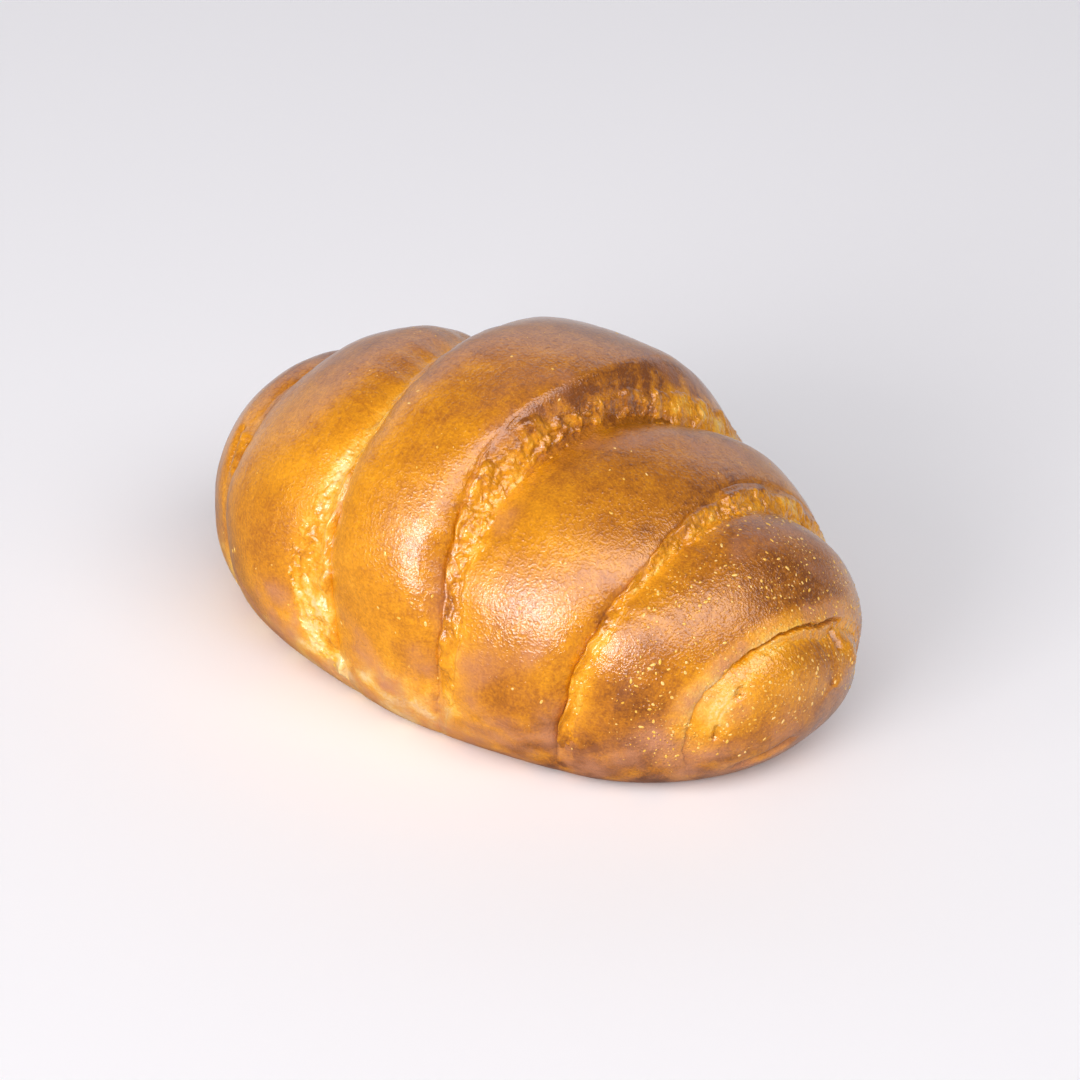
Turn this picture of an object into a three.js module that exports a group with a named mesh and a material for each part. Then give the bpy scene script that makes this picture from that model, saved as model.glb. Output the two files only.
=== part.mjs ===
// Salt bread roll: one piece of dough, rolled up from its wide end and baked. The
// thickest coil lies in the middle and the coils step down to a small tip at each end.
// In the oven the coils swell and part along their seams, where the dough tears.
//
// Millimetres. +X runs along the roll to the near tip, +Y to its back, +Z up. The origin
// is under the middle of the roll, on the surface that the flat underside rests on.
//
// A point on the crust has a latitude, -90 at the far tip and 90 at the near one, and an
// angle round the roll: -90 under it, 0 at the front, 90 on top and 180 at the back.

import * as THREE from "three";

// overall form
const HALF_LENGTH_FAR = 63.8;
const HALF_LENGTH_NEAR = 61.6;
const HALF_WIDTH = 38.5;
const RISE = 31.1; // from the widest level up to the top of the roll
const DROP = 33.0; // down to the lowest point before the underside is flattened
const WIDEST_LEVEL = 24.8;
const TIP_DROOP = 6.4; // how far both tips hang below the middle
const TIP_TURN = 2.0; // how far both tips turn to the back
const END_ROUNDNESS = 2.09; // 2 is an ellipse, more is blunter
const WAIST_ROUNDNESS = 2.14;
const TOP_ROUNDNESS = 1.94;
const FOOT_ROUNDNESS = 2.65;
const FOOT_EDGE = 2.0; // softness of the bend into the flat underside
const FOOT_TRIM = 0.6;

// where the seams fade out low on the sides, as the sine of the angle round the roll
const SEAM_FOOT = -0.8;
const SEAM_FOOT_BLEND = 0.65;

// Each seam runs round the roll. "line" is the latitude of the edge of the thicker coil
// and "width" that of the torn strip beside it, on the side of the tip that "tip" gives.
// Both are in degrees at the angles of ROUND. The strip is "deep" mm deep, at the front
// and over the top. Where it is a "flank", the tear runs over the top as a slope from
// high on the thicker coil down to the thinner one.
const ROUND = [-50, 0, 50, 100, 150, 230];
const SEAMS = [
  { tip: -1, deep: [1.5, 2.5], line: [-62, -64, -66, -66, -66, -66], width: [2, 2, 2, 2, 2, 2] },
  { tip: -1, deep: [0.6, 1.6], line: [-39, -45.5, -46, -43, -45.5, -42], width: [1, 3.5, 5, 4, 2.5, 2] },
  { tip: -1, deep: [2.4, 2.8], line: [-7.5, -13, -14.5, -15.5, -20.5, -22], width: [1.5, 7, 3, 5.5, 4.5, 2] },
  { tip: 1, deep: [2.6, 4.6], line: [4.5, 8, 4.5, 9, 7.5, 16], width: [1, 4, 5, 5, 15, 6], flank: true },
  { tip: 1, deep: [2.4, 4], line: [26, 31, 36, 35.5, 39, 46], width: [3, 3, 2.5, 6, 7, 3], flank: true },
  { tip: 1, deep: [0.9, 2.2], line: [50.5, 54.5, 65, 71.5, 70, 62], width: [6, 6, 4, 5, 2.5, 3] },
];

// How far each coil swells past the overall form, at the front, on top and at the back,
// from the far tip to the near one, and how many bands of faces it has.
const COILS = [
  { swell: [0.3, 0.3, 0.3], bands: 6 },
  { swell: [0.3, 0.3, 0.5], bands: 6 },
  { swell: [1, 0.6, -0.2], bands: 8 },
  { swell: [-1.2, 4.6, 5.8], bands: 9 },
  { swell: [0.2, -2, 0.4], bands: 9 },
  { swell: [0, -0.9, 0.3], bands: 8 },
  { swell: [-0.2, -0.2, 0.6], bands: 7 },
];
const LIP_FLATNESS = 2.8; // a coil is full up to its lip and then turns down steeply
const LIP_TURN = 1.6;
const EMERGING_SLOPE = 2.4; // and rises gently from under the thicker coil

// torn strips: a crease along one side and lumps of torn crumb
const STRIP_BANDS = 3;
const CREASE_SHARE = 0.6; // of the depth, the rest is level
const FLANK_STEP = 0.7; // from a thicker coil's crest down to its torn flank
const FLANK_CURVE = 1.5; // 1 is a straight slope, more is one that gets steeper downwards
const TORN_LUMPS = 0.55;
const LUMPY_FROM = 4; // degrees of width, narrower strips have smaller lumps
const RAGGED_EDGE = 0.5; // degrees of latitude

// slow unevenness of hand-shaped dough
const UNEVENNESS = 0.45;
const UNEVEN_PITCH = 0.15; // radians a millimetre

const COLUMNS = 72;
const SEED = 11;

const radians = THREE.MathUtils.degToRad;

function smooth(value) {
  const t = Math.min(Math.max(value, 0), 1);
  return t * t * (3 - 2 * t);
}

function power(value, exponent) {
  return Math.sign(value) * Math.abs(value) ** exponent;
}

// A smooth curve through the values given at ROUND, closed across the underside.
function around(values, angle) {
  const last = ROUND.length - 1;
  if (angle < ROUND[0] || angle > ROUND[last]) {
    const start = ROUND[last] - 360;
    const under = (angle > 0 ? angle - 360 : angle) - start;
    return values[last] + (values[0] - values[last]) * smooth(under / (ROUND[0] - start));
  }
  let i = 0;
  while (i < last - 1 && angle >= ROUND[i + 1]) i += 1;
  const slope = (k) => {
    const a = Math.max(k - 1, 0);
    const b = Math.min(k + 1, last);
    return (values[b] - values[a]) / (ROUND[b] - ROUND[a]);
  };
  const span = ROUND[i + 1] - ROUND[i];
  const t = (angle - ROUND[i]) / span;
  const step = t * t * (3 - 2 * t);
  const leave = t * (1 - t) * (1 - t) * span * slope(i);
  const arrive = t * t * (t - 1) * span * slope(i + 1);
  return values[i] + (values[i + 1] - values[i]) * step + leave + arrive;
}

// The overall form without seams.
function form(latitude, angle) {
  const along = Math.sin(radians(latitude));
  const girth = Math.abs(Math.cos(radians(latitude))) ** (2 / WAIST_ROUNDNESS);
  const halfLength = along > 0 ? HALF_LENGTH_NEAR : HALF_LENGTH_FAR;
  const x = halfLength * power(along, 2 / END_ROUNDNESS);
  const up = Math.sin(radians(angle));
  const roundness = up >= 0 ? TOP_ROUNDNESS : FOOT_ROUNDNESS;
  const side = -power(Math.cos(radians(angle)), 2 / roundness);
  const height = power(up, 2 / roundness) * (up >= 0 ? RISE : DROP);
  const toTip = (x / HALF_LENGTH_FAR) ** 2;
  return new THREE.Vector3(
    x,
    HALF_WIDTH * girth * side + TIP_TURN * toTip,
    WIDEST_LEVEL - TIP_DROOP * toTip + girth * height,
  );
}

function outward(latitude, angle) {
  const step = 0.01;
  const toTip = form(latitude + step, angle).sub(form(latitude - step, angle));
  const toTop = form(latitude, angle + step).sub(form(latitude, angle - step));
  return toTip.cross(toTop).normalize();
}

function seamFade(angle) {
  return smooth((Math.sin(radians(angle)) - SEAM_FOOT) / SEAM_FOOT_BLEND);
}

function crest(coil, angle) {
  const [front, top, back] = coil.swell;
  const toTop = smooth((angle + 30) / 120);
  const toBack = smooth((angle - 90) / 90);
  return seamFade(angle) * (front + (top - front) * toTop + (back - top) * toBack);
}

// Level of a torn strip: share 0 is at the thicker coil's edge and 1 at the thinner one's.
// The crease is under the thicker coil at the front and by the thinner one over the top.
function stripLevel(index, angle, share) {
  const seam = SEAMS[index];
  const overTop = smooth((Math.sin(radians(angle)) + 0.1) / 1.1);
  const crease = smooth((angle - 15) / 60) * smooth((260 - angle) / 60);
  const bottom = -seamFade(angle) * THREE.MathUtils.lerp(...seam.deep, overTop);
  const level = bottom * (1 - CREASE_SHARE * Math.abs(share - crease));
  if (!seam.flank) return level;
  const high = crest(COILS[index], angle) - FLANK_STEP * seamFade(angle);
  return level + (high + (bottom - high) * share ** FLANK_CURVE - level) * crease;
}

// A small generator of numbers from 0 to 1 that gives the same row each time.
function seeded(seed) {
  let state = seed;
  return () => {
    state = (state * 1664525 + 1013904223) % 4294967296;
    return state / 4294967296;
  };
}

const random = seeded(SEED);
const lump = (size) => size * (2 * random() - 1);
const angles = Array.from({ length: COLUMNS }, (_, k) => -90 + (360 * k) / COLUMNS);
const ragged = SEAMS.map(() => angles.map(() => lump(RAGGED_EDGE)));

function stripLatitude(index, column, share) {
  const seam = SEAMS[index];
  const width = around(seam.width, angles[column]) + share * ragged[index][column];
  return around(seam.line, angles[column]) + seam.tip * width * share;
}

// The crust as rows of points from tip to tip, each with a latitude and a level.
function crustRows() {
  const rows = [];
  COILS.forEach((coil, index) => {
    const before = SEAMS[index - 1];
    const after = SEAMS[index];
    for (let band = 0; band <= coil.bands; band += 1) {
      rows.push(angles.map((angle, column) => {
        const top = crest(coil, angle);
        const start = before && {
          latitude: stripLatitude(index - 1, column, before.tip > 0 ? 1 : 0),
          level: stripLevel(index - 1, angle, before.tip > 0 ? 1 : 0),
        };
        const end = after && {
          latitude: stripLatitude(index, column, after.tip > 0 ? 0 : 1),
          level: stripLevel(index, angle, after.tip > 0 ? 0 : 1),
        };
        if (!start || !end) {
          const pole = end ? -90 : 90;
          const foot = start ?? end;
          const toFoot = end ? band / coil.bands : 1 - band / coil.bands;
          return {
            latitude: pole + (foot.latitude - pole) * toFoot,
            level: foot.level + (top - foot.level) * (1 - toFoot ** EMERGING_SLOPE),
          };
        }
        const across = Math.sin(Math.PI * (band / coil.bands - 0.5));
        const foot = across < 0 ? start : end;
        const isLip = across < 0 ? before.tip < 0 : after.tip > 0;
        const size = Math.abs(across);
        const full = isLip
          ? Math.max(1 - size ** LIP_FLATNESS, 0) ** (1 / LIP_TURN)
          : 1 - size ** EMERGING_SLOPE;
        return {
          latitude: (start.latitude + end.latitude + (end.latitude - start.latitude) * across) / 2,
          level: foot.level + (top - foot.level) * full,
        };
      }));
    }
    if (!after) return;
    for (let band = 1; band < STRIP_BANDS; band += 1) {
      const share = after.tip > 0 ? band / STRIP_BANDS : 1 - band / STRIP_BANDS;
      rows.push(angles.map((angle, column) => {
        const rough = TORN_LUMPS * seamFade(angle) * smooth(around(after.width, angle) / LUMPY_FROM);
        return {
          latitude: stripLatitude(index, column, share),
          level: stripLevel(index, angle, share) + lump(rough),
        };
      }));
    }
  });
  return rows;
}

function uneven(point) {
  const wave = (value, phase) => Math.sin(UNEVEN_PITCH * value + phase);
  return UNEVENNESS * (wave(point.x, 1.3) * wave(point.y, 0.4) + wave(point.z * 1.4 + point.x, 2.1)) / 2;
}

// Puts a point of the crust in space and presses what is under the roll flat.
function place(latitude, level, angle) {
  const inside = Math.min(Math.max(latitude, -89.8), 89.8);
  const point = form(latitude, angle);
  point.addScaledVector(outward(inside, angle), level + uneven(point));
  const soft = (point.z + Math.sqrt(point.z ** 2 + FOOT_EDGE ** 2)) / 2;
  point.z = Math.max(soft - FOOT_TRIM, 0);
  return point;
}

function tip(row) {
  const points = row.map((spot, column) => place(spot.latitude, spot.level, angles[column]));
  return points.reduce((sum, point) => sum.add(point), new THREE.Vector3()).divideScalar(points.length);
}

function crustGeometry() {
  const rows = crustRows();
  const inner = rows.slice(1, -1);
  const points = [tip(rows[0])];
  inner.forEach((row) => row.forEach((spot, column) => {
    points.push(place(spot.latitude, spot.level, angles[column]));
  }));
  points.push(tip(rows[rows.length - 1]));

  const faces = [];
  const nearTip = points.length - 1;
  const at = (row, column) => 1 + row * COLUMNS + (column % COLUMNS);
  for (let column = 0; column < COLUMNS; column += 1) {
    faces.push(0, at(0, column), at(0, column + 1));
    for (let row = 0; row < inner.length - 1; row += 1) {
      faces.push(at(row, column), at(row + 1, column), at(row + 1, column + 1));
      faces.push(at(row, column), at(row + 1, column + 1), at(row, column + 1));
    }
    faces.push(at(inner.length - 1, column), nearTip, at(inner.length - 1, column + 1));
  }

  const geometry = new THREE.BufferGeometry().setFromPoints(points);
  geometry.setIndex(faces);
  geometry.computeBoundingBox();
  const middle = geometry.boundingBox.getCenter(new THREE.Vector3());
  geometry.translate(-middle.x, -middle.y, 0);
  geometry.computeVertexNormals();
  return geometry;
}

const crust = new THREE.MeshStandardMaterial({ color: 0xc8842f, roughness: 0.35, metalness: 0 });
const roll = new THREE.Mesh(crustGeometry(), crust);
roll.name = "bread_roll";

const group = new THREE.Group();
group.name = "salt_bread_roll";
group.add(roll);

export default group;
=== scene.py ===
import math

import bpy
import numpy as np
from mathutils import Matrix, Vector, noise


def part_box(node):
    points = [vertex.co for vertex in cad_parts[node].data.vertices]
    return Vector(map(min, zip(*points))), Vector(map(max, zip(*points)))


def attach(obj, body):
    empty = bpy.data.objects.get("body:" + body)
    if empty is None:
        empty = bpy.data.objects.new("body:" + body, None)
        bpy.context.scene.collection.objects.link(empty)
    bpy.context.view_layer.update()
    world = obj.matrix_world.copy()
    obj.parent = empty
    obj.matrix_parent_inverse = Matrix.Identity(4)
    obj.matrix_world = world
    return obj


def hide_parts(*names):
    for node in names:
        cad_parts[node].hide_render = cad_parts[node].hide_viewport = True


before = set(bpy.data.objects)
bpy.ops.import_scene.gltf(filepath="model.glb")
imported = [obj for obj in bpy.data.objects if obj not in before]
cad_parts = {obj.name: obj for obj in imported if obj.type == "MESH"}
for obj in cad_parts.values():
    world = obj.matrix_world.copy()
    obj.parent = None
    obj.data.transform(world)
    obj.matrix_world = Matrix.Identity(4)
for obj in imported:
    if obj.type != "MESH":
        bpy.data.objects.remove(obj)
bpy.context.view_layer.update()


# Camera
# It looks down on the roll from its near front corner, through a long lens that hardly
# foreshortens it, and is rolled a little to the left.

CAMERA_AIM = Vector((0.00163, -0.00065, 0.02236))
CAMERA_AZIMUTH = math.radians(35.456)
CAMERA_ELEVATION = math.radians(29.185)
CAMERA_ROLL = math.radians(3.844)
CAMERA_DISTANCE = 0.6
CAMERA_NEAREST = 0.01
CAMERA_LENS = 115.76  # millimetres, as is its sensor's width
CAMERA_SENSOR = 36


def direction(azimuth, elevation):
    """From the roll outwards. Azimuth 0 is the front, and a right angle is past the near tip."""
    level = math.cos(elevation)
    return Vector((math.sin(azimuth) * level, -math.cos(azimuth) * level, math.sin(elevation)))


def facing(back, roll=0.0):
    """Turns a camera or a light, which look along their own -Z, to look against back."""
    right = Vector((0, 0, 1)).cross(back).normalized()
    up = back.cross(right)
    turned = Matrix((right, up, back)).transposed()
    return (turned @ Matrix.Rotation(roll, 3, "Z")).to_4x4()


def new_object(name, data):
    made = bpy.data.objects.new(name, data)
    bpy.context.collection.objects.link(made)
    return made


camera_data = bpy.data.cameras.new("camera")
camera_data.lens = CAMERA_LENS
camera_data.sensor_width = CAMERA_SENSOR
camera_data.clip_start = CAMERA_NEAREST
camera = new_object("camera", camera_data)
camera_back = direction(CAMERA_AZIMUTH, CAMERA_ELEVATION)
camera_place = Matrix.Translation(CAMERA_AIM + camera_back * CAMERA_DISTANCE)
camera.matrix_world = camera_place @ facing(camera_back, CAMERA_ROLL)
bpy.context.scene.camera = camera


# Floor and light
# A plain pale floor in a dim room. A softbox stands low at the front before a wide screen, a
# wide one hangs over the near end, and one behind the far tip gives the tops a cool sheen.

FLOOR_SIDE = 3.2
FLOOR_COLOUR = (0.94, 0.94, 0.94, 1)
FLOOR_ROUGHNESS = 0.9
FLOOR_IN_GLAZE = (0.12, 0.12, 0.13, 1)  # as the crust reflects it, fully so in front
FLOOR_BACK, FLOOR_FRONT = 0.04, -0.03  # metres along Y
SHARE_AT_BACK = 0.25  # of that darker colour
ROOM_COLOUR = (0.90, 0.92, 1.0, 1)
ROOM_STRENGTH = 0.15
BACKDROP_STRENGTH = 0.85  # how bright the room looks behind the floor
LIGHT_DISTANCE = 2.0
SOFTBOXES = {
    "front_softbox": dict(azimuth=3, elevation=17, wide=0.9, high=0.8,
                          brightness=9.4, colour=(1.0, 0.95, 0.98)),
    "front_screen": dict(azimuth=-8, elevation=22, wide=1.9, high=1.25,
                         brightness=1.9, colour=(1.0, 0.97, 0.99)),
    "overhead_softbox": dict(azimuth=56, elevation=49, wide=2.9, high=1.35,
                             brightness=2.9, colour=(1.0, 0.97, 0.99)),
    "rear_softbox": dict(azimuth=-138, elevation=25, wide=4.4, high=1.2,
                         brightness=0.7, colour=(0.88, 0.88, 1.0)),
}
LIGHT_AIM = Vector((0, 0, 0.03))


def add(tree, kind, inputs=None, **settings):
    """Adds a node, with its settings, and links or sets its inputs."""
    node = tree.nodes.new(kind)
    for name, value in settings.items():
        setattr(node, name, value)
    for socket, value in (inputs or {}).items():
        if isinstance(value, bpy.types.NodeSocket):
            tree.links.new(value, node.inputs[socket])
        else:
            node.inputs[socket].default_value = value
    return node


def mix_colour(tree, share, first, second):
    """From the first colour to the second, by a Mix node's own sockets for colours."""
    inputs = {0: share, 6: first, 7: second}
    return add(tree, "ShaderNodeMix", inputs, data_type="RGBA").outputs[2]


def new_material(name):
    material = bpy.data.materials.new(name)
    material.use_nodes = True
    material.node_tree.nodes.clear()
    return material, material.node_tree


def surface(tree, inputs):
    """The material's own shader and its output."""
    shader = add(tree, "ShaderNodeBsdfPrincipled", inputs)
    add(tree, "ShaderNodeOutputMaterial", {"Surface": shader.outputs["BSDF"]})


floor_material, tree = new_material("pale floor")
mirrored = add(tree, "ShaderNodeLightPath").outputs["Is Glossy Ray"]
on_floor = add(tree, "ShaderNodeTexCoord").outputs["Object"]
depth = add(tree, "ShaderNodeSeparateXYZ", {0: on_floor}).outputs["Y"]
in_front = add(tree, "ShaderNodeMapRange",
               {"Value": depth, "From Min": FLOOR_BACK, "From Max": FLOOR_FRONT,
                "To Min": SHARE_AT_BACK, "To Max": 1.0}).outputs[0]
dimmed = add(tree, "ShaderNodeMath", {0: mirrored, 1: in_front}, operation="MULTIPLY").outputs[0]
floor_tone = mix_colour(tree, dimmed, FLOOR_COLOUR, FLOOR_IN_GLAZE)
surface(tree, {"Base Color": floor_tone, "Roughness": FLOOR_ROUGHNESS})
half = FLOOR_SIDE / 2
floor_mesh = bpy.data.meshes.new("floor")
corners = [(-half, -half, 0), (half, -half, 0), (half, half, 0), (-half, half, 0)]
floor_mesh.from_pydata(corners, [], [(0, 1, 2, 3)])
floor_mesh.materials.append(floor_material)
floor = new_object("floor", floor_mesh)

for name, box in SOFTBOXES.items():
    light = bpy.data.lights.new(name, "AREA")
    light.shape = "RECTANGLE"
    light.size = box["wide"]
    light.size_y = box["high"]
    light.energy = math.pi * box["wide"] * box["high"] * box["brightness"]
    light.color = box["colour"]
    softbox = new_object(name, light)
    softbox.visible_camera = False
    back = direction(math.radians(box["azimuth"]), math.radians(box["elevation"]))
    softbox.matrix_world = Matrix.Translation(LIGHT_AIM + back * LIGHT_DISTANCE) @ facing(back)

room = bpy.data.worlds.new("pale room")
room.use_nodes = True
background = room.node_tree.nodes["Background"]
background.inputs["Color"].default_value = ROOM_COLOUR
seen = add(room.node_tree, "ShaderNodeLightPath").outputs["Is Camera Ray"]
strength = add(room.node_tree, "ShaderNodeMapRange",
               {"Value": seen, "To Min": ROOM_STRENGTH, "To Max": BACKDROP_STRENGTH}).outputs[0]
room.node_tree.links.new(strength, background.inputs["Strength"])
bpy.context.scene.world = room
bpy.context.scene.view_settings.view_transform = "Standard"


# Crust
# The roll is one strip of dough, rolled up from its wide end, so its skin shows as seven
# coils, thickest in the middle. It was brushed with egg and baked, and the coils swelled
# and parted along their seams, where the dough tore.
#
# A point on the crust has a latitude, -90 at the far tip and 90 at the near one, and an
# angle round the roll: -90 under it, 0 at the front, 90 on top and 180 at the back.

MILLIMETRE = 0.001  # the dough's sizes are in millimetres and its mesh is in metres
SEED = 11

HALF_LENGTH_FAR = 63.8
HALF_LENGTH_NEAR = 61.6
HALF_WIDTH = 38.5
RISE = 31.1  # from the widest level up to the top of the roll
DROP = 33.0  # down to the lowest point before the underside is flattened
WIDEST_LEVEL = 24.8
TIP_DROOP = 6.4  # how far both tips hang below the middle
TIP_TURN = 2.0  # how far both tips turn to the back
END_ROUNDNESS = 2.09  # 2 is an ellipse, more is blunter
WAIST_ROUNDNESS = 2.14
TOP_ROUNDNESS = 1.94
FOOT_ROUNDNESS = 2.65
FOOT_EDGE = 2.0  # softness of the bend into the flat underside
FOOT_TRIM = 0.6
# where the seams fade out low on the sides, as the sine of the angle round the roll
SEAM_FOOT = -0.8
SEAM_FOOT_BLEND = 0.65

# Each seam's torn strip: the latitudes of its edge by the thicker coil and its widths in
# degrees at the angles of ROUND, how deep it is at the front and on top, how much it is
# torn to crumb and toasted there, how pale the thicker coil's lip is, how many millimetres
# dough that held on to that lip fills of the groove under it, and its rows of faces. The
# strip is less pale than most where its paleness is given. A flank is a high slope of the
# thicker coil, whose skin still covers the share of it that is given. The thinner coil lies
# towards the far tip where tip is -1 and towards the near one where it is 1.
ROUND = np.array([-50.0, 0, 50, 100, 150, 230])
SEAMS = [
    dict(tip=-1, deep=(1.5, 2.5), pale_lip=0.2, bridged=0.3, rows=3,
         line=(-62, -64, -66, -66, -66, -66), width=(2, 2, 2, 2, 2, 2),
         crumb=(0.1, 0.2, 0.2, 0.2, 0.2, 0.1), toast=(0.3, 0.4, 0.4, 0.4, 0.4, 0.3)),
    dict(tip=-1, deep=(0.6, 1.6), pale_lip=0.2, bridged=0.3, rows=6, paleness=0.12,
         line=(-39, -45.5, -46, -43, -45.5, -42), width=(1, 3.5, 5, 4, 2.5, 2),
         crumb=(0.1, 0.2, 0.35, 0.3, 0.4, 0.3), toast=(0.3, 0.35, 0.4, 0.4, 0.5, 0.3)),
    dict(tip=-1, deep=(2.4, 2.8), pale_lip=0.25, bridged=1.7, rows=9,
         line=(-7.5, -13, -14.5, -15.5, -20.5, -22), width=(1.5, 7, 3, 5.5, 4.5, 2),
         crumb=(0.6, 1, 0.5, 0.25, 0.7, 0.4), toast=(0.2, 0, 0.1, 0.35, 0.6, 0.4)),
    dict(tip=1, deep=(2.6, 4.6), pale_lip=0.1, bridged=1.6, rows=13, paleness=0.8, flank=0.34,
         line=(4.5, 8, 4.5, 9, 7.5, 16), width=(1, 4, 5, 5, 15, 6),
         crumb=(0, 0.5, 0.8, 1, 1, 0.6), toast=(0.5, 0.8, 0.9, 0.9, 0.9, 0.7)),
    dict(tip=1, deep=(2.4, 4), pale_lip=0.1, bridged=1.7, rows=10, flank=0.1,
         line=(26, 31, 36, 35.5, 39, 46), width=(3, 3, 2.5, 6, 7, 3),
         crumb=(0.2, 0.6, 0.6, 1, 1, 0.6), toast=(0.5, 0.6, 1.0, 0.7, 0.6, 0.6)),
    dict(tip=1, deep=(0.9, 2.2), pale_lip=0.8, bridged=0, rows=14,
         line=(50.5, 54.5, 65, 71.5, 70, 62), width=(6, 6, 4, 5, 2.5, 3),
         crumb=(0, 0, 0, 0.1, 0.4, 0.3), toast=(0.1, 0, 0, 0.2, 0.4, 0.4)),
]
# How far each coil swells at the front, on top and at the back, how much browner or paler
# than the others it baked, and its rows of faces.
COILS = [
    dict(swell=(0.3, 0.3, 0.3), browner=0.0, rows=14),
    dict(swell=(0.3, 0.3, 0.5), browner=0.0, rows=20),
    dict(swell=(1, 0.6, -0.2), browner=0.0, rows=32),
    dict(swell=(-1.2, 4.6, 5.8), browner=-0.02, rows=33),
    dict(swell=(0.2, -2, 0.4), browner=0.03, rows=33),
    dict(swell=(0, -0.9, 0.3), browner=0.1, rows=30),
    dict(swell=(-0.2, -0.2, 0.6), browner=-0.03, rows=24),
]
SWELL_TO_TOP, SWELL_TO_BACK = (-30, 90), (90, 180)  # angles over which the swell changes
LIP_FLATNESS = 2.8  # a coil is full up to its lip and then turns down steeply
LIP_TURN = 1.6
EMERGING_SLOPE = 2.4  # and rises gently from under the thicker coil
CREASE_SHARE = 0.6  # of a torn strip's depth, the rest is level
DEEPER_SINES = (-0.1, 1.0)  # sines of the angle over which a strip gets as deep as on top
OVER_FRONT, OVER_BACK = (15, 75), (260, 200)  # angles over which the sides give way to the top
FLANK_STEP = 0.7  # from a thicker coil's crest down to its torn flank
FLANK_CURVE = 1.5  # 1 is a straight slope, more is one that gets steeper downwards
UNEVENNESS = 0.45  # slow unevenness of hand-shaped dough
UNEVEN_PITCH = 0.15  # radians a millimetre
UNEVEN_PHASES, UNEVEN_SLANT = (1.3, 0.4, 2.1), 1.4
COLUMNS = 400

# The tears are ragged: waves of these counts round the roll move their edges.
RAGGED_WAVES = (5, 9, 14, 23, 37, 58)
RAGGED_DEGREES = 0.55
RAGGED_FROM = 3  # degrees of width, narrower strips are less ragged
CALM_FLANK = 0.75  # how much less ragged a high flank is
FLANK_ANGLES = (60, 90)  # and from where it is one
TORN_CLEARANCE = 0.35  # the crust's own surface lies this far below the torn crumb
TIGHT_FOLD = 1.7  # depth of the tight fold under the last lip
TIGHT_FOLD_SHARE, TIGHT_FOLD_REACH = 0.13, 0.14  # its place and width in the strip
TIGHT_FOLD_START, TIGHT_FOLD_END = (20, 40), (135, 115)  # angles over which it comes and goes

# shallow dents and fine wrinkles of the skin: their height, size and place in the noise
DENTS = dict(height=0.16, size=(7, 9, 9), place=1.9)
WRINKLES = dict(height=0.05, size=(1.5, 8, 8), place=6.4)

# Small slits, creases and folds, each from one point to another, given as latitude and
# angle, with its half width and depth in millimetres. A depth below 0 is a raised fold.
CREASES = [
    dict(start=(63.6, 15), end=(63.2, 9), wide=0.55, deep=1.1),
    dict(start=(59.6, -7), end=(59.0, -13), wide=0.55, deep=1.0),
    dict(start=(62, -47), end=(74, -50), wide=0.9, deep=1.2),
    dict(start=(75.5, 121), end=(79.5, 130), wide=0.7, deep=0.9),
    dict(start=(77.5, 150), end=(79, 165), wide=1.6, deep=-0.7),
    dict(start=(-52.5, 40), end=(-50.3, 22), wide=0.6, deep=1.0),
    dict(start=(-50.5, 38), end=(-48.2, 21), wide=0.9, deep=-0.7),
    dict(start=(-48.5, 36), end=(-46.5, 24), wide=0.5, deep=0.8),
]


def smooth(value):
    t = np.clip(value, 0, 1)
    return t * t * (3 - 2 * t)


def ramp(value, start, end):
    """Eased from 0 at start to 1 at end, which may be the lower of the two."""
    return smooth((value - start) / (end - start))


def power(value, exponent):
    return np.sign(value) * np.abs(value) ** exponent


def blend(start, end, share):
    return start + (end - start) * share


def unit(vectors):
    return vectors / np.linalg.norm(vectors, axis=-1, keepdims=True)


def around(values, angle):
    """A smooth curve through the values given at ROUND, closed across the underside."""
    values = np.asarray(values, float)
    last = len(ROUND) - 1
    before = np.maximum(np.arange(last + 1) - 1, 0)
    after = np.minimum(np.arange(last + 1) + 1, last)
    slope = (values[after] - values[before]) / (ROUND[after] - ROUND[before])
    i = np.clip(np.searchsorted(ROUND, angle, side="right") - 1, 0, last - 1)
    span = ROUND[i + 1] - ROUND[i]
    t = np.clip((angle - ROUND[i]) / span, 0, 1)
    curve = blend(values[i], values[i + 1], smooth(t))
    curve += t * (1 - t) * (1 - t) * span * slope[i] + t * t * (t - 1) * span * slope[i + 1]
    start = ROUND[last] - 360
    under = np.where(angle > ROUND[last], angle - 360, angle) - start
    below = blend(values[last], values[0], smooth(under / (ROUND[0] - start)))
    return np.where((angle < ROUND[0]) | (angle > ROUND[last]), below, curve)


def form(latitude, angle):
    """The overall form without seams."""
    latitude, angle = np.radians(latitude), np.radians(angle)
    along = np.sin(latitude)
    girth = np.abs(np.cos(latitude)) ** (2 / WAIST_ROUNDNESS)
    half_length = np.where(along > 0, HALF_LENGTH_NEAR, HALF_LENGTH_FAR)
    x = half_length * power(along, 2 / END_ROUNDNESS)
    up = np.sin(angle)
    roundness = np.where(up >= 0, TOP_ROUNDNESS, FOOT_ROUNDNESS)
    side = -power(np.cos(angle), 2 / roundness)
    height = power(up, 2 / roundness) * np.where(up >= 0, RISE, DROP)
    to_tip = (x / HALF_LENGTH_FAR) ** 2
    y = HALF_WIDTH * girth * side + TIP_TURN * to_tip
    z = WIDEST_LEVEL - TIP_DROOP * to_tip + girth * height
    return np.stack([x, y, z], -1)


def outward(latitude, angle):
    """The way straight off the form, from its slopes over a small step in degrees."""
    step, nearly_tip = 0.01, 89.8
    latitude = np.clip(latitude, -nearly_tip, nearly_tip)
    to_tip = form(latitude + step, angle) - form(latitude - step, angle)
    to_top = form(latitude, angle + step) - form(latitude, angle - step)
    return unit(np.cross(to_tip, to_top))


def seam_fade(angle):
    return smooth((np.sin(np.radians(angle)) - SEAM_FOOT) / SEAM_FOOT_BLEND)


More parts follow.
